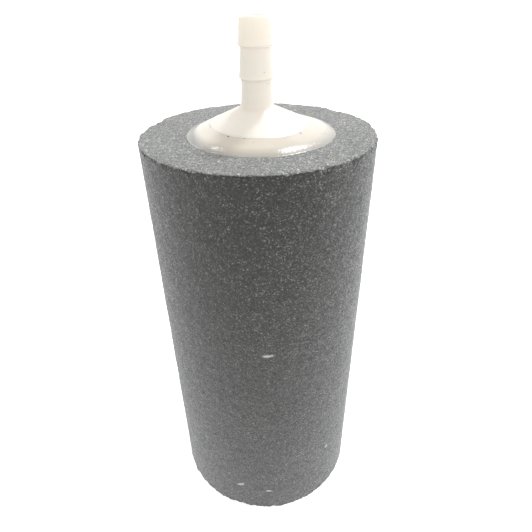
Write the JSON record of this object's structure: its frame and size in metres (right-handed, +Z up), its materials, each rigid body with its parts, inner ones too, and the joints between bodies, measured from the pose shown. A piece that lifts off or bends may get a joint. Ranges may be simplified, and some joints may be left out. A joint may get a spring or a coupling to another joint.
{
  "type": "air stone",
  "caption": "Tall round air stone of bonded grit, closed at one end by a conical plastic fitting with a barbed hose stem, sealed in with a bead of epoxy.",
  "frame": {"origin": "centre of the stone's bottom face", "axes": "+Z up along the stone's axis, towards the hose stem's tip; the part is round, so X and Y are free"},
  "size_m": [0.05, 0.05, 0.1238],
  "materials": {
    "bonded_grit": "open-pored bonded mineral grit, about 0.45 mm grains, mid grey with lighter and darker grains",
    "moulded_plastic": "satin injection-moulded ivory plastic, slightly translucent",
    "epoxy": "glossy hand-laid two-part epoxy, milky cream"
  },
  "bodies": {
    "root": {"stone_body": "bonded_grit", "hose_fitting": "moulded_plastic", "bedding_adhesive": "epoxy", "sealing_bead": "epoxy"}
  },
  "joints": []
}
